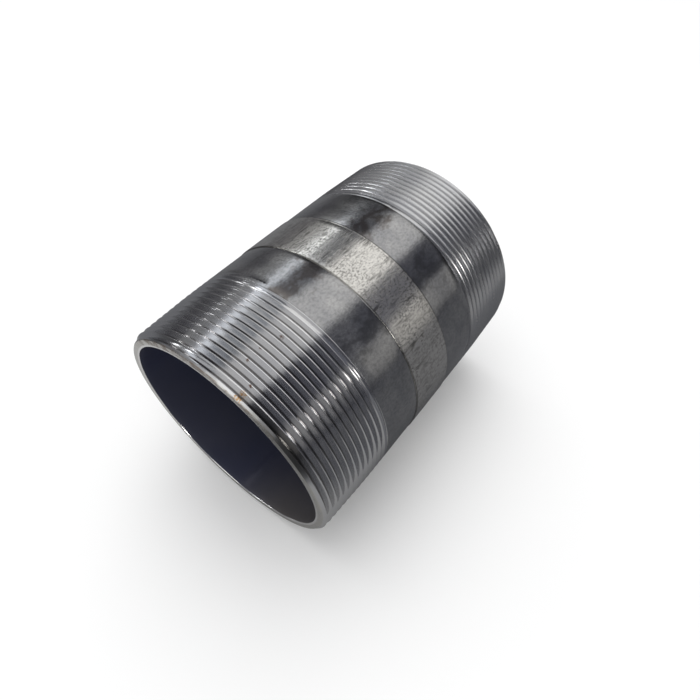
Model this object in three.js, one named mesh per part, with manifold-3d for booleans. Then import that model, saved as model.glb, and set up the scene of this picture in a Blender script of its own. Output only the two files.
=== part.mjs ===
// Threaded pipe nipple, nominal 4 inch: a short length of welded steel pipe, turned on the
// outside, with a right-hand taper pipe thread cut on each end. It is one piece of metal.
//
// It lies with its axis along Y and its centre at the origin. Lengths are in millimetres.
// Angles around the axis start at the top (+Z) and turn towards +X.

import * as THREE from 'three';
import { mergeVertices } from 'three/addons/utils/BufferGeometryUtils.js';
import Module from 'manifold-3d';

const wasm = await Module();
wasm.setup();

// The pipe.
const LENGTH = 150;
const TURNED_RADIUS = 57.15;
const WALL = 6.02;
const BORE_RADIUS = TURNED_RADIUS - WALL;
const BORE_EDGE_BREAK = 0.3;
const NEAR_FACE = -LENGTH / 2;

// The band between the turned barrels keeps the pipe's mill surface, a little proud of them.
const BAND_RADIUS = 57.45;
const BAND_NEAR_EDGE = -11.8;
const BAND_FAR_EDGE = 13.6;
const BAND_SEAT = 0.4;

// Each end is faced square, then chamfered at 45 degrees.
const FACE_RADIUS = 54.5;
const CHAMFER_REACH = 8;

// The taper thread: 8 turns to the inch, 60 degrees, tapering 1 in 16 on the diameter.
const PITCH = 25.4 / 8;
const TAPER = 1 / 32;
const THREAD_HEIGHT = 0.8 * PITCH;
const FLANK_SLOPE = Math.tan(THREE.MathUtils.degToRad(30));
const PITCH_RADIUS_AT_FACE = 110.093 / 2;
const CREST_RADIUS_AT_FACE = PITCH_RADIUS_AT_FACE + THREAD_HEIGHT / 2;
const ROOT_RADIUS_AT_FACE = PITCH_RADIUS_AT_FACE - THREAD_HEIGHT / 2;
const TURNS_OUTSIDE = 2;

// Each end's groove first crosses the top of the pipe this far inside the end face. It keeps its
// full depth for fullTurns from there, and runs out to nothing over runOutTurns more.
const NEAR_THREAD = { grooveStart: 2.07, fullTurns: 11.75, runOutTurns: 0.75 };
const FAR_THREAD = { grooveStart: 0.31, fullTurns: 11.875, runOutTurns: 0.125 };

// The bead of the pipe's seam runs along the bottom of the bore and is reamed away at the ends.
const BEAD_WIDTH = 6.5;
const BEAD_HEIGHT = 0.7;
const BEAD_SEAT = 1;
const BEAD_SET_BACK = 3;
const BEAD_STEPS = 6;

const FACETS = 48;

const steel = new THREE.MeshStandardMaterial({ color: 0x6f6f72, roughness: 0.38, metalness: 1 });

// Any closed geometry as a solid that can be joined and cut.
function solidOf(geometry) {
  geometry.deleteAttribute('normal');
  geometry.deleteAttribute('uv');
  const merged = mergeVertices(geometry);
  return new wasm.Manifold(new wasm.Mesh({
    numProp: 3,
    vertProperties: new Float32Array(merged.attributes.position.array),
    triVerts: new Uint32Array(merged.index.array),
  }));
}

function geometryOf(solid) {
  const mesh = solid.getMesh();
  const geometry = new THREE.BufferGeometry();
  geometry.setAttribute('position', new THREE.BufferAttribute(mesh.vertProperties, 3));
  geometry.setIndex(new THREE.BufferAttribute(mesh.triVerts, 1));
  return geometry;
}

// A solid turned about the Y axis, from the radius and place of each corner of its outline.
function turned(outline) {
  const points = outline.map(([radius, along]) => new THREE.Vector2(radius, along));
  return solidOf(new THREE.LatheGeometry(points, FACETS));
}

// The surface that the -Y end's thread is cut into: the tapered crests, then the turned barrel.
function surfaceRadius(along) {
  return Math.min(CREST_RADIUS_AT_FACE + TAPER * (along - NEAR_FACE), TURNED_RADIUS);
}

// One step of the thread's groove: its root, and its two edges on the surface. The root rises
// to the surface at the thread's end, where the cutting tool leaves the metal.
function grooveAt(turns, thread) {
  const along = NEAR_FACE + thread.grooveStart + turns * PITCH;
  const surface = surfaceRadius(along);
  const onTaper = ROOT_RADIUS_AT_FACE + TAPER * (along - NEAR_FACE);
  const rise = Math.max(0, (turns - thread.fullTurns) / thread.runOutTurns);
  const root = onTaper + (surface - onTaper) * rise;
  const halfWidth = (surface - root) * FLANK_SLOPE;
  return { along, root, near: along - halfWidth, far: along + halfWidth };
}

// The -Y end of the pipe as a solid rod: the thread, then the barrel up to inside the band.
// The helix starts well outside the end face, and ends as one point on the barrel.
function threadedRod(thread) {
  const positions = [];
  const triangles = [];
  const addPoint = (radius, step, along) => {
    const angle = step * 2 * Math.PI / FACETS;
    positions.push(radius * Math.sin(angle), along, radius * Math.cos(angle));
    return positions.length / 3 - 1;
  };
  const addTriangle = (a, b, c) => {
    if (a !== b && b !== c && c !== a) triangles.push(a, b, c);
  };
  const addQuad = (a, b, c, d) => {
    addTriangle(a, b, c);
    addTriangle(a, c, d);
  };

  const lastTurns = thread.fullTurns + thread.runOutTurns;
  const steps = (TURNS_OUTSIDE + lastTurns) * FACETS;
  const near = [];
  const root = [];
  const far = [];
  for (let step = 0; step < steps; step += 1) {
    const groove = grooveAt(step / FACETS - TURNS_OUTSIDE, thread);
    near.push(addPoint(surfaceRadius(groove.near), step, groove.near));
    root.push(addPoint(groove.root, step, groove.along));
    far.push(addPoint(surfaceRadius(groove.far), step, groove.far));
  }
  const end = addPoint(TURNED_RADIUS, steps, grooveAt(lastTurns, thread).along);
  [near, root, far].forEach((line) => line.push(end));

  for (let step = 0; step < steps; step += 1) {
    const next = step + 1;
    addQuad(root[step], root[next], far[next], far[step]);
    if (step >= FACETS) {
      addQuad(near[step], near[next], root[next], root[step]);
      addQuad(far[step - FACETS], far[next - FACETS], near[next], near[step]);
    }
  }

  const ring = [];
  for (let step = 0; step < FACETS; step += 1) {
    ring.push(addPoint(TURNED_RADIUS, step, BAND_NEAR_EDGE / 2));
  }
  const lastTurn = steps - FACETS;
  addTriangle(far[lastTurn], far[lastTurn + 1], end);
  for (let step = lastTurn; step < steps; step += 1) {
    const edge = step === lastTurn ? end : far[step];
    addQuad(edge, far[step + 1], ring[(step + 1) % FACETS], ring[step % FACETS]);
  }

  const outerCentre = addPoint(0, 0, grooveAt(-TURNS_OUTSIDE, thread).along);
  const outerEdge = [...root.slice(0, FACETS + 1), near[FACETS], far[0]];
  outerEdge.forEach((corner, index) => {
    addTriangle(outerCentre, outerEdge[(index + 1) % outerEdge.length], corner);
  });
  const innerCentre = addPoint(0, 0, BAND_NEAR_EDGE / 2);
  ring.forEach((corner, index) => addTriangle(innerCentre, corner, ring[(index + 1) % FACETS]));

  const geometry = new THREE.BufferGeometry();
  geometry.setAttribute('position', new THREE.Float32BufferAttribute(positions, 3));
  geometry.setIndex(triangles);
  return geometry;
}

// The band's steps slope at 45 degrees from just below the turned barrels.
function millBand() {
  const foot = TURNED_RADIUS - BAND_SEAT;
  const slope = BAND_RADIUS - foot;
  return turned([
    [0, BAND_NEAR_EDGE - slope],
    [foot, BAND_NEAR_EDGE - slope],
    [BAND_RADIUS, BAND_NEAR_EDGE],
    [BAND_RADIUS, BAND_FAR_EDGE],
    [foot, BAND_FAR_EDGE + slope],
    [0, BAND_FAR_EDGE + slope],
  ]);
}

// Everything that facing and chamfering the two ends leaves in place.
function facedEnds() {
  const face = LENGTH / 2;
  const wide = FACE_RADIUS + CHAMFER_REACH;
  const chamferEnd = face - CHAMFER_REACH;
  return turned([
    [0, -face],
    [FACE_RADIUS, -face],
    [wide, -chamferEnd],
    [wide, chamferEnd],
    [FACE_RADIUS, face],
    [0, face],
  ]);
}

// The hole through the pipe, with its edges broken at 45 degrees.
function bore() {
  const outside = LENGTH / 2 + BORE_EDGE_BREAK;
  const mouth = BORE_RADIUS + 2 * BORE_EDGE_BREAK;
  const straight = LENGTH / 2 - BORE_EDGE_BREAK;
  return turned([
    [0, -outside],
    [mouth, -outside],
    [BORE_RADIUS, -straight],
    [BORE_RADIUS, straight],
    [mouth, outside],
    [0, outside],
  ]);
}

// The low arch of the weld bead, seated in the wall at the bottom of the bore.
function weldBead() {
  const outline = new THREE.Shape();
  const seat = BORE_RADIUS + BEAD_SEAT;
  outline.moveTo(-BEAD_WIDTH / 2, -seat);
  outline.lineTo(BEAD_WIDTH / 2, -seat);
  for (let step = 0; step <= BEAD_STEPS; step += 1) {
    const across = BEAD_WIDTH * (0.5 - step / BEAD_STEPS);
    const wall = Math.sqrt(BORE_RADIUS ** 2 - across ** 2);
    const rise = BEAD_HEIGHT * Math.cos(Math.PI * across / BEAD_WIDTH);
    outline.lineTo(across, rise - wall);
  }
  outline.closePath();
  const depth = LENGTH - 2 * BEAD_SET_BACK;
  const geometry = new THREE.ExtrudeGeometry(outline, { depth, bevelEnabled: false });
  geometry.translate(0, 0, -depth / 2);
  geometry.rotateX(Math.PI / 2);
  return solidOf(geometry);
}

// The +Y end is the -Y end turned end for end, which keeps its thread right-hand.
function nippleBody() {
  const nearEnd = solidOf(threadedRod(NEAR_THREAD));
  const farEnd = solidOf(threadedRod(FAR_THREAD).rotateZ(Math.PI));
  const outside = nearEnd.add(farEnd).add(millBand()).intersect(facedEnds());
  return outside.subtract(bore()).add(weldBead());
}

const nipple = new THREE.Group();
const body = new THREE.Mesh(geometryOf(nippleBody()), steel);
body.name = 'nipple_body';
nipple.add(body);

export default nipple;
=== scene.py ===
"""Threaded pipe nipple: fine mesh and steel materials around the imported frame. Lengths are metres.

The nipple lies with its axis along Y. Angles around it start at the top (+Z) and turn towards +X.
"""

import math
from collections import namedtuple

import bpy
from mathutils import Matrix, Vector


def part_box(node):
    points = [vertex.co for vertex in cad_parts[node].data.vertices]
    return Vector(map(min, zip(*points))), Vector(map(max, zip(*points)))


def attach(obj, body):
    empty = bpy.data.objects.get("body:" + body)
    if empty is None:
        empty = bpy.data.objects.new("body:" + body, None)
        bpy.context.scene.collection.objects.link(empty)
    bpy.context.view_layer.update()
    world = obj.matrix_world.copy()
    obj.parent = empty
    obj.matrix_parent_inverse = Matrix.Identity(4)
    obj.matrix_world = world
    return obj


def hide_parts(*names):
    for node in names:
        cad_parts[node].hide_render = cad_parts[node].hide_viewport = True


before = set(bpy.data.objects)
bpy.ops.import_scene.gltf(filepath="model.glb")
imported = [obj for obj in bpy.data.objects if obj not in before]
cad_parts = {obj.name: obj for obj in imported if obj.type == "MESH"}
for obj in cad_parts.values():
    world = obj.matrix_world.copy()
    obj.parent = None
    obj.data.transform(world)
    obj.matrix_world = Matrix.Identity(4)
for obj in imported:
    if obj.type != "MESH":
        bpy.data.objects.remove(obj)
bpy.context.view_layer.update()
LOW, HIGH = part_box("nipple_body")

# The pipe. Its length and the band's radius are the frame's, and the rest agrees with the CAD.
BAND_RISE = 0.0003
WALL = 0.00602
HALF_LENGTH = HIGH[1]
BAND_RADIUS = HIGH[0]
TURNED_RADIUS = BAND_RADIUS - BAND_RISE
BORE_RADIUS = TURNED_RADIUS - WALL
FACE_RADIUS = 0.0545
EDGE_BREAK = 0.0003

# The mill band's two edges, along Y, and how far each wanders from its place.
BAND_NEAR = -0.0118
BAND_FAR = 0.0136
EDGE_RAGGEDNESS = 0.00012

# The outline over each edge of the band: the place along Y from the edge, and the radius. A fine
# groove runs round the band just before its far edge.
NEAR_EDGE = (
    (-0.0003, TURNED_RADIUS),
    (-0.00012, TURNED_RADIUS - 0.00006),
    (0.0, TURNED_RADIUS + 0.00012),
    (0.00012, BAND_RADIUS - 0.00005),
    (0.0004, BAND_RADIUS),
)
FAR_EDGE = (
    (-0.0011, BAND_RADIUS),
    (-0.0009, BAND_RADIUS - 0.00004),
    (-0.0007, BAND_RADIUS),
    (-0.00015, BAND_RADIUS),
    (0.0, BAND_RADIUS - 0.0001),
    (0.00012, TURNED_RADIUS - 0.00004),
    (0.0004, TURNED_RADIUS),
)

# The barrels' evenly spaced rows stop this far from the band's edges, and the band's own steel
# starts this far before its near edge.
EDGE_CLEARANCE = 0.0006
BAND_MARGIN = 0.0001

# The taper thread: 8 turns to the inch, 60 degrees, 1 in 16 on the diameter.
PITCH = 0.0254 / 8
TAPER = 1 / 32
THREAD_HEIGHT = 0.8 * PITCH
PITCH_RADIUS = 0.110093 / 2
CREST_RADIUS = PITCH_RADIUS + THREAD_HEIGHT / 2
ROOT_RADIUS = PITCH_RADIUS - THREAD_HEIGHT / 2
FLANK_SLOPE = math.tan(math.radians(30))
TURNS_OUTSIDE = 2
ROOT_ROUNDING = 0.0001
CREST_ROUNDING = 0.0003
NARROWEST_GROOVE = 0.0001

# Each end's thread: where its groove first crosses the top of the pipe, its turns at full depth
# and its turns of run-out from there, and how far its cut metal reaches from the end face.
Thread = namedtuple("Thread", "groove_start full_turns run_out_turns length")
NEAR_THREAD = Thread(0.00207, 11.75, 0.75, 0.0412)
FAR_THREAD = Thread(0.00031, 11.875, 0.125, 0.0389)
THREAD_MARGIN = 0.002

# Where the mesh has rows on each side of a groove, in half-widths of the groove. The last is
# just short of the middle of the crest.
PROFILE_STEPS = (0.06, 0.16, 0.5, 0.82, 0.92, 0.98, 1.04)

# The bead of the pipe's seam, at the bottom of the bore. It rises between its set-back and its
# full depth from each face, and the columns are finer within its spread of the bottom.
BEAD_HALF_ANGLE = math.radians(3.6)
BEAD_HEIGHT = 0.0007
BEAD_SET_BACK = 0.003
BEAD_FULL_DEPTH = 1.5 * BEAD_SET_BACK
BEAD_SPREAD = 1.5 * BEAD_HALF_ANGLE

# The mesh: columns round the pipe, finer columns across the bead, rows in half of the bore's
# length, and the barrels' row spacing. The smallest step is the least distance from an end face to
# the next row, and how near the bore's radius a face of the bore lies.
COLUMNS = 180
BEAD_COLUMNS = 12
BORE_ROWS = 5
ROW_SPACING = 0.0025
SMALLEST_STEP = 0.00005
SHARP_ANGLE = math.radians(38)

# The camera: its place from the near face's centre, its angles in degrees, its lens and sensor in
# mm, and the least distance that it sees.
CAMERA_PLACE = Vector((0.10624, -0.04904, 0.19574))
CAMERA_AZIMUTH = 37.65
CAMERA_ELEVATION = 52.0
CAMERA_LENS = 26.06
SENSOR_WIDTH = 36.0
NEAREST_SEEN = 0.01


# ---------------------------------------------------------------- the shape

def smooth_min(a, b, width):
    """The smaller of a and b, with the corner between them rounded over width."""
    blend = max(width - abs(a - b), 0) / width
    return min(a, b) - blend * blend * width / 4


def surface_radius(depth):
    """The radius that the thread is cut into, this far from the end face."""
    return min(CREST_RADIUS + TAPER * depth, TURNED_RADIUS)


def thread_column(angle, thread):
    """(distance from the end face, radius) of one thread at this angle, from the face inwards."""
    column = [(0.0, FACE_RADIUS)]
    steps = [-step for step in reversed(PROFILE_STEPS)] + [0, *PROFILE_STEPS]
    reach = thread.length + THREAD_MARGIN
    first_turn = angle / (2 * math.pi) - TURNS_OUTSIDE
    for turn in range(int(reach / PITCH) + TURNS_OUTSIDE + 2):
        turns = first_turn + turn
        centre = thread.groove_start + turns * PITCH
        surface = surface_radius(centre)
        on_taper = ROOT_RADIUS + TAPER * centre
        rise = min(max(0, (turns - thread.full_turns) / thread.run_out_turns), 1)
        root = on_taper + (surface - on_taper) * rise
        half_width = max((surface - root) * FLANK_SLOPE, NARROWEST_GROOVE)
        for across in [step * half_width for step in steps] + [PITCH / 2]:
            depth = centre + across
            if SMALLEST_STEP < depth < reach:
                rounded = math.hypot(across, ROOT_ROUNDING) - ROOT_ROUNDING
                groove = root + rounded / FLANK_SLOPE
                radius = smooth_min(groove, surface_radius(depth), CREST_ROUNDING)
                column.append((depth, min(radius, FACE_RADIUS + depth)))
    return column


def raggedness(angle, seed):
    """A small repeatable wander of a scraped edge, from -1 to 1."""
    waves = ((3, 0.3), (7, 0.25), (16, 0.2), (37, 0.15), (61, 0.1))
    return sum(size * math.sin(count * angle + seed * count) for count, size in waves)


def evenly(start, end):
    """Places from start to end, both left out, about ROW_SPACING apart."""
    steps = int((end - start) / ROW_SPACING)
    return [start + (end - start) * step / steps for step in range(1, steps)]


def barrel_column(angle):
    """(place along Y, radius) of the turned barrels and the mill band between the threads."""
    start = NEAR_THREAD.length + THREAD_MARGIN - HALF_LENGTH
    end = HALF_LENGTH - FAR_THREAD.length - THREAD_MARGIN
    near = BAND_NEAR + EDGE_RAGGEDNESS * raggedness(angle, 1)
    far = BAND_FAR + EDGE_RAGGEDNESS * raggedness(angle, 2)
    column = [(along, TURNED_RADIUS) for along in evenly(start, near - EDGE_CLEARANCE)]
    column += [(near + offset, radius) for offset, radius in NEAR_EDGE]
    column += [(along, BAND_RADIUS) for along in evenly(column[-1][0], far + FAR_EDGE[0][0])]
    column += [(far + offset, radius) for offset, radius in FAR_EDGE]
    column += [(along, TURNED_RADIUS) for along in evenly(far + EDGE_CLEARANCE, end)]
    return column


def outside_column(angle):
    """(place along Y, radius) of the whole outside, from the near face to the far one."""
    near = [(depth - HALF_LENGTH, radius) for depth, radius in thread_column(angle, NEAR_THREAD)]
    # The far end is turned end for end about Z, so its thread is right-hand too.
    turned_angle = -angle % (2 * math.pi)
    far = [(HALF_LENGTH - depth, radius) for depth, radius in thread_column(turned_angle, FAR_THREAD)]
    return near + barrel_column(angle) + far[::-1]


def bore_column(angle):
    """(place along Y, radius) of the bore, from the far face back to the near one."""
    off_centre = min(abs(angle - math.pi) / BEAD_HALF_ANGLE, 1)
    rise = BEAD_HEIGHT * (1 + math.cos(off_centre * math.pi)) / 2
    half = [
        (HALF_LENGTH, BORE_RADIUS + EDGE_BREAK),
        (HALF_LENGTH - EDGE_BREAK / 4, BORE_RADIUS + EDGE_BREAK / 3),
        (HALF_LENGTH - EDGE_BREAK, BORE_RADIUS),
        (HALF_LENGTH - BEAD_SET_BACK, BORE_RADIUS),
        (HALF_LENGTH - BEAD_FULL_DEPTH, BORE_RADIUS - rise),
    ]
    rows = range(1, 2 * BORE_ROWS)
    middle = [(HALF_LENGTH * (1 - row / BORE_ROWS), BORE_RADIUS - rise) for row in rows]
    return half + middle + [(-along, radius) for along, radius in reversed(half)]


def column_angles():
    """Evenly spaced angles, with finer ones across the weld bead."""
    step_angle = 2 * math.pi / COLUMNS
    clear = BEAD_SPREAD + step_angle / 3
    even = [column * step_angle for column in range(COLUMNS)]
    coarse = [angle for angle in even if abs(angle - math.pi) > clear]
    across = [2 * column / BEAD_COLUMNS - 1 for column in range(BEAD_COLUMNS + 1)]
    fine = [math.pi + BEAD_SPREAD * place for place in across]
    return sorted(coarse + fine)


def zip_columns(first, second, places):
    """Triangles between two neighbouring columns of vertices, joining whichever comes next."""
    a = b = 0
    while a < len(first) - 1 or b < len(second) - 1:
        second_done = b == len(second) - 1
        first_left = a < len(first) - 1
        if second_done or (first_left and places[first[a + 1]][1] <= places[second[b + 1]][1]):
            yield first[a], second[b], first[a + 1]
            a += 1
        else:
            yield first[a], second[b], second[b + 1]
            b += 1


def add_column(places, column, angle):
    """Adds a column's points to places, and gives their numbers."""
    start = len(places)
    for along, radius in column:
        places.append((radius * math.sin(angle), along, radius * math.cos(angle)))
    return range(start, len(places))


def nipple_mesh():
    """The nipple as one closed mesh: outside, far face, bore and near face."""
    places = []
    angles = column_angles()
    outside = [add_column(places, outside_column(angle), angle) for angle in angles]
    inside = [add_column(places, bore_column(angle), angle) for angle in angles]
    faces = []
    for index in range(len(angles)):
        after = (index + 1) % len(angles)
        out, out_next = outside[index], outside[after]
        inn, inn_next = inside[index], inside[after]
        faces += zip_columns(out, out_next, places)
        faces.append((out[-1], out_next[-1], inn_next[0], inn[0]))
        for row in range(len(inn) - 1):
            faces.append((inn[row], inn_next[row], inn_next[row + 1], inn[row + 1]))
        faces.append((inn[-1], inn_next[-1], out_next[0], out[0]))
    mesh = bpy.data.meshes.new("nipple")
    mesh.from_pydata(places, [], faces)
    mesh.validate()
    return mesh


def region_of(centre):
    """The name of the surface that a face with this centre belongs to."""
    radius = math.hypot(centre.x, centre.z)
    depth = HALF_LENGTH - abs(centre.y)
    if depth < EDGE_BREAK:
        return "end"
    if radius < BORE_RADIUS + SMALLEST_STEP:
        return "bore"
    if centre.y < 0 and depth < NEAR_THREAD.length:
        return "near_thread"
    if centre.y > 0 and depth < FAR_THREAD.length:
        return "far_thread"
    return "band" if BAND_NEAR - BAND_MARGIN < centre.y < BAND_FAR else "turned"


def build_nipple(materials):
    """The nipple's object, with the material of each of its surfaces."""
    mesh = nipple_mesh()
    regions = list(materials)
    for material in materials.values():
        mesh.materials.append(material)
    for face in mesh.polygons:
        face.material_index = regions.index(region_of(face.center))
        face.use_smooth = True
    mesh.set_sharp_from_angle(angle=SHARP_ANGLE)
    nipple = bpy.data.objects.new("nipple", mesh)
    bpy.context.collection.objects.link(nipple)
    return nipple


# ---------------------------------------------------------------- materials

def new_material(name):
    """A new material, with its node tree and its shader."""
    material = bpy.data.materials.new(name)
    material.use_nodes = True
    return material, material.node_tree, material.node_tree.nodes["Principled BSDF"]


def add(tree, kind, inputs=None, **settings):
    """Adds a node, with its settings, and gives each input a value or another node's output."""
    node = tree.nodes.new(kind)
    for name, value in settings.items():
        setattr(node, name, value)
    for name, value in (inputs or {}).items():
        if isinstance(value, bpy.types.NodeSocket):
            tree.links.new(value, node.inputs[name])
        else:
            node.inputs[name].default_value = value
    return node


def stretched(tree, across, along):
    """Object coordinates scaled by across around the pipe and by along down its axis."""
    coordinates = add(tree, "ShaderNodeTexCoord").outputs["Object"]
    inputs = {"Vector": coordinates, "Scale": (across, along, across)}
    return add(tree, "ShaderNodeMapping", inputs).outputs[0]


def noise(tree, across, along, detail=3.0, roughness=0.5):
    """Noise with its own scale around and along the pipe, from 0 to 1."""
    where = stretched(tree, across, along)
    inputs = {"Vector": where, "Scale": 1.0, "Detail": detail, "Roughness": roughness}
    return add(tree, "ShaderNodeTexNoise", inputs).outputs["Fac"]


def remap(tree, value, low, high, to_low=0.0, to_high=1.0):
    """value moved from the range low to high onto another range, and held inside it."""
    inputs = {"Value": value, "From Min": low, "From Max": high, "To Min": to_low, "To Max": to_high}
    return add(tree, "ShaderNodeMapRange", inputs).outputs["Result"]


def mix_colour(tree, factor, first, second):
    """The first colour at factor 0 and the second at 1."""
    node = add(tree, "ShaderNodeMix", data_type="RGBA")
    for index, value in ((0, factor), (6, first), (7, second)):
        if isinstance(value, bpy.types.NodeSocket):
            tree.links.new(value, node.inputs[index])
        else:
            node.inputs[index].default_value = value
    return node.outputs[2]


def maths(tree, operation, first, second):
    """One step of arithmetic on two values or outputs."""
    return add(tree, "ShaderNodeMath", {0: first, 1: second}, operation=operation).outputs[0]


def bump(tree, height, distance, strength, normal=None):
    """The normal of a surface that height raises by up to distance, over another bump's if given."""
    inputs = {"Height": height, "Distance": distance, "Strength": strength}
    if normal is not None:
        inputs["Normal"] = normal
    return add(tree, "ShaderNodeBump", inputs).outputs["Normal"]


def grey(value, tint=(1.0, 1.0, 1.0)):
    """A grey of this value as a colour, lightly tinted."""
    return (value * tint[0], value * tint[1], value * tint[2], 1.0)


COOL = (0.97, 0.98, 1.03)
WARM = (1.04, 1.01, 0.93)
PALE_WARM = (1.02, 1.0, 0.96)
# The painted shade that darkens the thread's roots.
ROOT_PAINTED_SHADE = (0.07, 0.06, 0.055, 1.0)
BROWN_SCALE = (0.105, 0.085, 0.075, 1.0)
BROWN_STAIN = (0.20, 0.15, 0.12, 1.0)
BORE_BLUE = (0.022, 0.026, 0.058, 1.0)
BORE_GREY = (0.038, 0.040, 0.066, 1.0)
# The painted light on the bore near its mouth.
BORE_PAINTED_LIGHT = (0.085, 0.078, 0.072, 1.0)

# Marks that lie on part of the way round: the degrees from the top that they start and end at,
# the degrees that they fade over, and how far their edges wander, in radians.
Sector = namedtuple("Sector", "start end softness wander")
MOUTH_DARKENING = Sector(27, 60, 8, 0.12)
FACE_STAIN = Sector(-45, 40, 10, 0.2)
TOP_SCALE = Sector(-1, 7, 2.5, 0.28)
SIDE_SCALE = Sector(33, 41, 3.0, 0.35)

# How far in from the near face the mouth's darkening starts to fade, and where it ends.
DARKENING_FADES_FROM = 0.0020
DARKENING_ENDS = 0.0036

# The painted highlight on the end faces: a bright ring round the bore's edge.
HIGHLIGHT_FADES_FROM = BORE_RADIUS + 0.0007
HIGHLIGHT_ENDS = BORE_RADIUS + 0.0012

# How far in from the near mouth the painted light on the bore's scale reaches.
PAINTED_LIGHT_REACH = 0.04

# Specks of rust on the near thread and the rim: degrees from the top, place along the pipe from
# the near face, size and colour.
OLD_RUST = (0.13, 0.06, 0.03, 1.0)
RIM_RUST = (21.5, 0.0012, 0.0022, (0.40, 0.23, 0.08, 1.0))
RUST_SPOTS = (
    RIM_RUST,
    (15.5, 0.0272, 0.0011, OLD_RUST),
    (17.0, 0.0244, 0.0007, OLD_RUST),
    (12.8, 0.0170, 0.0006, OLD_RUST),
    (13.8, 0.0130, 0.0008, OLD_RUST),
    (21.5, 0.0065, 0.0009, OLD_RUST),
)

# The specks' middles lie a little below the crests.
RUST_RADIUS = CREST_RADIUS - 0.0002


def separate(tree):
    """The object coordinates x, y and z."""
    coordinates = add(tree, "ShaderNodeTexCoord").outputs["Object"]
    return add(tree, "ShaderNodeSeparateXYZ", {0: coordinates}).outputs


def distance_from_axis(tree):
    """The distance from the pipe's axis."""
    x, _, z = separate(tree)
    squares = maths(tree, "ADD", maths(tree, "MULTIPLY", x, x), maths(tree, "MULTIPLY", z, z))
    return maths(tree, "SQRT", squares, 0.0)


def thread_depth(tree):
    """0 on the thread's crests, 1 at its roots."""
    inwards = maths(tree, "ABSOLUTE", separate(tree)[1], 0.0)
    reach = NEAR_THREAD.length
    deepest = ROOT_RADIUS + TAPER * reach
    root = remap(tree, inwards, HALF_LENGTH - reach, HALF_LENGTH, deepest, ROOT_RADIUS)
    height = maths(tree, "SUBTRACT", distance_from_axis(tree), root)
    return remap(tree, height, THREAD_HEIGHT, 0.0)


def within(tree, sector):
    """1 between a sector's two angles, with ragged edges, and 0 elsewhere."""
    x, _, z = separate(tree)
    angle = maths(tree, "ARCTAN2", x, z)
    ragged = remap(tree, noise(tree, 160, 110, 4.0, 0.65), 0.0, 1.0, -sector.wander, sector.wander)
    angle = maths(tree, "ADD", angle, ragged)
    start, end, soft = (math.radians(degrees) for degrees in sector[:3])
    rising = remap(tree, angle, start - soft, start + soft)
    falling = remap(tree, angle, end - soft, end + soft, 1.0, 0.0)
    return maths(tree, "MULTIPLY", rising, falling)


def add_mouth_darkening(tree, base):
    """The colour base, darkened on one side of the near face and chamfer."""
    depth = maths(tree, "SUBTRACT", separate(tree)[1], LOW[1])
    near_mouth = remap(tree, depth, DARKENING_FADES_FROM, DARKENING_ENDS, 0.78, 0.0)
    darkening = maths(tree, "MULTIPLY", near_mouth, within(tree, MOUTH_DARKENING))
    return mix_colour(tree, darkening, base, grey(0.14, WARM))


def add_rust(tree, base, spot):
    """The colour base with one speck of rust over it."""
    degrees, from_face, size, colour = spot
    angle = math.radians(degrees)
    place = (RUST_RADIUS * math.sin(angle), from_face - HALF_LENGTH, RUST_RADIUS * math.cos(angle))
    coordinates = add(tree, "ShaderNodeTexCoord").outputs["Object"]
    distance = add(tree, "ShaderNodeVectorMath", {0: coordinates, 1: place}, operation="DISTANCE")
    away = distance.outputs["Value"]
    uneven = remap(tree, noise(tree, 1500, 1500), 0.3, 0.7, -0.6 * size, 0.6 * size)
    speck = remap(tree, maths(tree, "ADD", away, uneven), size, 0.3 * size)
    return mix_colour(tree, speck, base, colour)


def thread_steel(name, bright, dull, smooth, rough, rust_spots=()):
    """Freshly cut steel: its two greys, its two roughnesses and its specks of rust."""
    material, tree, shader = new_material(name)
    # Painted shade: the thread's roots are darkened, standing in for the shade deep in the grooves.
    root_shade = remap(tree, thread_depth(tree), 0.84, 1.0)
    base = mix_colour(tree, noise(tree, 60, 90), grey(dull, COOL), grey(bright))
    base = mix_colour(tree, maths(tree, "MULTIPLY", root_shade, 0.8), base, ROOT_PAINTED_SHADE)
    base = add_mouth_darkening(tree, base)
    for spot in rust_spots:
        base = add_rust(tree, base, spot)
    tree.links.new(base, shader.inputs["Base Color"])
    shader.inputs["Metallic"].default_value = 1.0
    roughness = remap(tree, noise(tree, 90, 900), 0.3, 0.7, smooth, rough)
    tree.links.new(roughness, shader.inputs["Roughness"])
    normal = bump(tree, noise(tree, 260, 120, 2.0), 0.00004, 0.5)
    tree.links.new(normal, shader.inputs["Normal"])
    return material


def turned_steel():
    """The barrels: turned steel, with dark scale left on two parts of the way round."""
    material, tree, shader = new_material("turned_steel")
    cloud = remap(tree, noise(tree, 45, 60, 5.0, 0.62), 0.35, 0.65)
    base = mix_colour(tree, cloud, grey(0.30, COOL), grey(0.46))
    fine = remap(tree, noise(tree, 1100, 700, 3.0), 0.42, 0.66)
    base = mix_colour(tree, maths(tree, "MULTIPLY", fine, 0.30), base, grey(0.12))
    top_scale = within(tree, TOP_SCALE)
    side_scale = within(tree, SIDE_SCALE)
    base = mix_colour(tree, maths(tree, "MULTIPLY", top_scale, 0.7), base, BROWN_SCALE)
    base = mix_colour(tree, maths(tree, "MULTIPLY", side_scale, 0.55), base, grey(0.10))
    tree.links.new(base, shader.inputs["Base Color"])
    shader.inputs["Metallic"].default_value = 1.0
    rough = remap(tree, cloud, 0.0, 1.0, 0.16, 0.24)
    tree.links.new(rough, shader.inputs["Roughness"])
    normal = bump(tree, noise(tree, 25, 6000, 2.0), 0.000003, 0.4)
    normal = bump(tree, fine, 0.000012, 0.5, normal)
    tree.links.new(normal, shader.inputs["Normal"])
    return material


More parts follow.
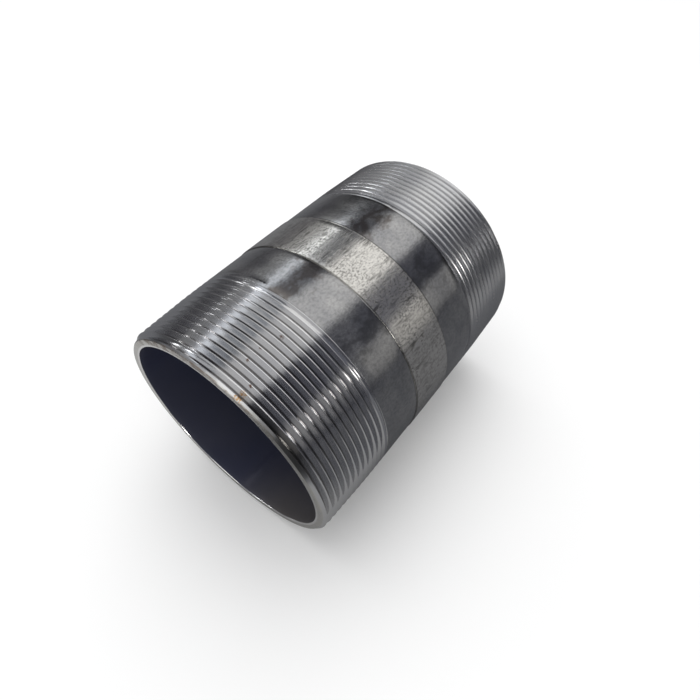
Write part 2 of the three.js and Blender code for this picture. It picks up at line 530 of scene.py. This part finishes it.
def mill_steel():
    """The band: pale mill surface, pitted and scuffed, with painted shade along its two edges."""
    material, tree, shader = new_material("mill_steel")
    base = mix_colour(tree, noise(tree, 700, 25), grey(0.54, PALE_WARM), grey(0.80, PALE_WARM))
    clusters = remap(tree, noise(tree, 110, 70, 4.0, 0.6), 0.38, 0.60, 0.40, 1.0)
    pits = remap(tree, noise(tree, 1500, 800, 4.0, 0.7), 0.50, 0.60)
    scuffs = remap(tree, noise(tree, 900, 120, 3.0, 0.6), 0.54, 0.66)
    marks = maths(tree, "MULTIPLY", maths(tree, "MAXIMUM", pits, scuffs), clusters)
    base = mix_colour(tree, maths(tree, "MULTIPLY", marks, 0.85), base, grey(0.14, WARM))
    along = separate(tree)[1]
    # Painted shade: darker along the band's two edges, where its step and groove lie.
    for edge in (BAND_NEAR, BAND_FAR):
        away = maths(tree, "ABSOLUTE", maths(tree, "SUBTRACT", along, edge), 0.0)
        darkening = remap(tree, away, 0.0002, 0.0007, 0.75, 0.0)
        base = mix_colour(tree, darkening, base, grey(0.10, WARM))
    tree.links.new(base, shader.inputs["Base Color"])
    shader.inputs["Metallic"].default_value = 1.0
    rough = remap(tree, noise(tree, 500, 400), 0.3, 0.7, 0.14, 0.26)
    tree.links.new(rough, shader.inputs["Roughness"])
    normal = bump(tree, maths(tree, "SUBTRACT", 1.0, marks), 0.00002, 0.8)
    tree.links.new(normal, shader.inputs["Normal"])
    return material


def end_steel():
    """The two end faces: cut steel, stained at the top, with a painted highlight round the bore."""
    material, tree, shader = new_material("end_steel")
    stain = remap(tree, noise(tree, 220, 300, 4.0, 0.6), 0.42, 0.60)
    stain = maths(tree, "MULTIPLY", stain, within(tree, FACE_STAIN))
    base = mix_colour(tree, noise(tree, 300, 300), grey(0.50), grey(0.62, WARM))
    base = mix_colour(tree, maths(tree, "MULTIPLY", stain, 0.8), base, BROWN_STAIN)
    base = add_mouth_darkening(tree, base)
    base = add_rust(tree, base, RIM_RUST)
    # Painted highlight: a near-white ring on the faces round the bore's edge.
    bore_edge_highlight = remap(tree, distance_from_axis(tree), HIGHLIGHT_FADES_FROM, HIGHLIGHT_ENDS, 1.0, 0.0)
    base = mix_colour(tree, bore_edge_highlight, base, grey(0.88))
    tree.links.new(base, shader.inputs["Base Color"])
    shader.inputs["Metallic"].default_value = 1.0
    rough = remap(tree, stain, 0.0, 1.0, 0.18, 0.40)
    tree.links.new(rough, shader.inputs["Roughness"])
    tree.links.new(bump(tree, noise(tree, 900, 900), 0.00001, 0.5), shader.inputs["Normal"])
    return material


def bore_scale():
    """The bore: dark blue-grey scale, with painted light making it paler on one side of the near
    mouth.
    """
    material, tree, shader = new_material("bore_scale")
    cloud = noise(tree, 50, 30, 4.0)
    base = mix_colour(tree, cloud, BORE_BLUE, BORE_GREY)
    x, y, z = separate(tree)
    # Painted light: the scale is paler on the low side near the mouth, standing in for light that
    # falls in there.
    near_mouth = remap(tree, y, LOW[1] + PAINTED_LIGHT_REACH, LOW[1])
    on_low_side = remap(tree, maths(tree, "SUBTRACT", x, z), 0.045, 0.07)
    painted_light = maths(tree, "MULTIPLY", near_mouth, on_low_side)
    base = mix_colour(tree, maths(tree, "MULTIPLY", painted_light, 0.8), base, BORE_PAINTED_LIGHT)
    tree.links.new(base, shader.inputs["Base Color"])
    rough = remap(tree, cloud, 0.3, 0.7, 0.45, 0.6)
    tree.links.new(rough, shader.inputs["Roughness"])
    shader.inputs["Specular IOR Level"].default_value = 0.3
    tree.links.new(bump(tree, noise(tree, 600, 80), 0.00004, 0.5), shader.inputs["Normal"])
    return material


# ---------------------------------------------------------------- the studio

# A tent of long soft panels round the nipple's axis, seen only in reflections. Each panel lies
# between two angles, in degrees from straight up towards +X, and between two places along Y, and
# has a brightness and a colour. Where panels overlap, their light adds up.
TENT_PANELS = (
    (-90, -76, -0.8, 1.2, 0.07, (1.0, 0.96, 1.04)),
    (-76, -67, -0.8, 0.7, 0.13, (1.0, 0.98, 1.03)),
    (-67, -57, -0.8, 0.7, 0.34, (1.0, 1.0, 0.98)),
    (-65, -61, -0.26, -0.02, 9.0, (1.0, 1.0, 1.0)),
    (-57, -50, -0.8, 0.7, 0.42, (1.0, 1.0, 1.0)),
    (-50, -41, -0.8, 0.70, 1.65, (0.97, 1.0, 1.02)),
    (-49, -45, -0.26, -0.02, 12.0, (1.0, 1.0, 1.0)),
    (-41, -18, 0.33, 0.50, 0.47, (0.94, 0.99, 1.06)),
    (-41, -18, 0.14, 0.33, 0.95, (1.0, 1.0, 0.98)),
    (-41, -18, -0.8, 1.2, 0.11, (0.94, 0.97, 1.08)),
    (-18, 21, -0.8, 1.2, 1.00, (1.0, 0.99, 0.97)),
    (21, 57, -0.8, 1.2, 0.10, (0.92, 0.94, 1.14)),
    (21, 57, 0.14, 0.33, 0.32, (1.0, 0.98, 0.98)),
    (57, 76, 0.40, 1.2, 0.44, (1.0, 0.98, 0.95)),
    (76, 84, 0.40, 1.2, 0.34, (1.0, 0.98, 0.95)),
    (57, 84, -0.8, 0.40, 0.10, (0.95, 0.96, 1.08)),
    (61, 69, -0.70, -0.05, 8.0, (1.0, 0.98, 0.94)),
    (61, 69, -0.05, 0.12, 3.0, (1.0, 0.98, 0.94)),
    (84, 100, -0.8, 1.2, 0.05, (0.92, 0.94, 1.12)),
)
TENT_RADIUS = 0.9

# Upright panels in front of the near face: from x, to x, brightness and colour.
FRONT_PANELS = (
    (-1.3, -0.60, 0.08, (1.0, 1.0, 0.98)),
    (-0.60, -0.38, 0.28, (1.0, 1.0, 1.0)),
    (-0.38, -0.27, 0.50, (1.0, 1.0, 1.0)),
    (-0.27, -0.17, 0.80, (1.0, 1.0, 0.98)),
    (-0.17, 0.14, 1.20, (1.0, 1.0, 0.98)),
    (0.14, 0.25, 0.62, (0.98, 0.98, 1.02)),
    (0.25, 0.9, 0.03, (0.96, 0.96, 1.04)),
)
FRONT_PLACE = -0.6
FRONT_HEIGHT = 0.8

# The floor's half-width, and the gap between it and the nipple.
FLOOR_REACH = 6.0
FLOOR_GAP = 0.00005

# The steel sees a darker floor, with a paler patch whose middle is this far in front of the near
# face. Each pair below is where a change of grey starts and where it is complete: the patch's
# fading with distance from its middle along Y, its fading towards -X, its own shading along X,
# and the shading along Y of the floor round it.
PATCH_AHEAD = 0.045
PATCH_FADE = (0.05, 0.09)
PATCH_SIDE_FADE = (-0.13, -0.17)
PATCH_SHADING = (-0.045, -0.015)
FLOOR_SHADING = (-0.25, -0.18)

# The soft light above the nipple. The steel doesn't see it, so it lights the floor and the bore.
TOP_LIGHT_PLACE = (-0.3, 0.2, 1.2)
TOP_LIGHT_SIZE = 1.2
TOP_LIGHT_POWER = 9.0


def add_panel(name, centre, facing, size, radiance, colour):
    """A soft panel that faces along facing, its second side along Y or upright."""
    data = bpy.data.lights.new(name, "AREA")
    data.shape = "RECTANGLE"
    data.size, data.size_y = size
    data.color = colour
    data.energy = radiance * math.pi * size[0] * size[1]
    light = bpy.data.objects.new(name, data)
    bpy.context.collection.objects.link(light)
    upright = Vector((0, 0, 1)) if abs(facing.y) > 0.5 else Vector((0, 1, 0))
    across = upright.cross(-facing).normalized()
    turn = Matrix((across, upright, -facing)).transposed().to_4x4()
    light.matrix_world = Matrix.Translation(centre) @ turn
    light.visible_camera = False
    light.visible_diffuse = False
    light.visible_transmission = False


def add_tent():
    """The panels round the axis, each square to the line out to its middle."""
    for number, (start, end, near, far, radiance, colour) in enumerate(TENT_PANELS):
        middle = math.radians((start + end) / 2)
        width = 2 * TENT_RADIUS * math.tan(math.radians(end - start) / 2)
        outwards = Vector((math.sin(middle), 0, math.cos(middle)))
        centre = outwards * TENT_RADIUS + Vector((0, (near + far) / 2, 0))
        add_panel(f"tent_{number}", centre, -outwards, (width, far - near), radiance, colour)


def add_front_panels():
    """The upright panels in front of the near face, standing from the floor."""
    for number, (start, end, radiance, colour) in enumerate(FRONT_PANELS):
        centre = Vector(((start + end) / 2, FRONT_PLACE, LOW[2] + FRONT_HEIGHT / 2))
        size = (end - start, FRONT_HEIGHT)
        add_panel(f"front_{number}", centre, Vector((0, 1, 0)), size, radiance, colour)


def floor_in_steel(tree):
    """The floor's colour as the steel sees it: a pale patch before the mouth, and dark elsewhere."""
    x, y, _ = separate(tree)
    from_patch = maths(tree, "SUBTRACT", y, LOW[1] - PATCH_AHEAD)
    ahead = remap(tree, maths(tree, "ABSOLUTE", from_patch, 0.0), *PATCH_FADE)
    away = maths(tree, "MAXIMUM", ahead, remap(tree, x, *PATCH_SIDE_FADE))
    pale = mix_colour(tree, remap(tree, x, *PATCH_SHADING), grey(0.46), grey(0.34))
    around = mix_colour(tree, remap(tree, y, *FLOOR_SHADING), grey(0.08, COOL), grey(0.17, COOL))
    return mix_colour(tree, away, pale, around)


def floor_material():
    """A pale floor that looks darker in the steel than it does to the eye."""
    material, tree, shader = new_material("floor")
    in_steel = add(tree, "ShaderNodeLightPath").outputs["Is Glossy Ray"]
    colour = mix_colour(tree, in_steel, grey(0.90), floor_in_steel(tree))
    tree.links.new(colour, shader.inputs["Base Color"])
    shader.inputs["Roughness"].default_value = 0.9
    shader.inputs["Specular IOR Level"].default_value = 0.0
    return material


def add_floor():
    """A large square floor, just under the nipple."""
    corners = ((-1, -1), (1, -1), (1, 1), (-1, 1))
    floor_z = LOW[2] - FLOOR_GAP
    places = [(x * FLOOR_REACH, y * FLOOR_REACH, floor_z) for x, y in corners]
    mesh = bpy.data.meshes.new("floor")
    mesh.from_pydata(places, [], [(0, 1, 2, 3)])
    mesh.materials.append(floor_material())
    floor = bpy.data.objects.new("floor", mesh)
    bpy.context.collection.objects.link(floor)


def add_top_light():
    """A soft light above the nipple that isn't seen in the steel."""
    data = bpy.data.lights.new("soft_top", "AREA")
    data.shape = "SQUARE"
    data.size = TOP_LIGHT_SIZE
    data.energy = TOP_LIGHT_POWER
    light = bpy.data.objects.new("soft_top", data)
    bpy.context.collection.objects.link(light)
    light.location = TOP_LIGHT_PLACE
    light.rotation_euler = (-light.location).to_track_quat("-Z", "Y").to_euler()
    light.visible_glossy = False
    light.visible_camera = False


def add_world():
    """A pale grey surround that is almost black in the steel."""
    world = bpy.data.worlds.new("studio")
    bpy.context.scene.world = world
    world.use_nodes = True
    tree = world.node_tree
    in_steel = add(tree, "ShaderNodeLightPath").outputs["Is Glossy Ray"]
    colour = mix_colour(tree, in_steel, grey(0.80), grey(0.05, COOL))
    tree.links.new(colour, tree.nodes["Background"].inputs["Color"])


def add_camera():
    """The photo's camera."""
    data = bpy.data.cameras.new("camera")
    data.lens = CAMERA_LENS
    data.sensor_width = SENSOR_WIDTH
    data.clip_start = NEAREST_SEEN
    camera = bpy.data.objects.new("camera", data)
    bpy.context.collection.objects.link(camera)
    camera.location = Vector((0, LOW[1], 0)) + CAMERA_PLACE
    camera.rotation_euler = (math.radians(90 - CAMERA_ELEVATION), 0, math.radians(CAMERA_AZIMUTH))
    bpy.context.scene.camera = camera


# ---------------------------------------------------------------- the scene

add_camera()
nipple = build_nipple({
    "near_thread": thread_steel(
        "near_thread_steel", bright=0.64, dull=0.56, smooth=0.10, rough=0.17, rust_spots=RUST_SPOTS),
    "far_thread": thread_steel("far_thread_steel", bright=0.57, dull=0.51, smooth=0.20, rough=0.28),
    "turned": turned_steel(),
    "band": mill_steel(),
    "end": end_steel(),
    "bore": bore_scale(),
})
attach(nipple, "root")
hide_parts("nipple_body")
add_tent()
add_front_panels()
add_floor()
add_top_light()
add_world()
bpy.context.scene.view_settings.view_transform = "Standard"
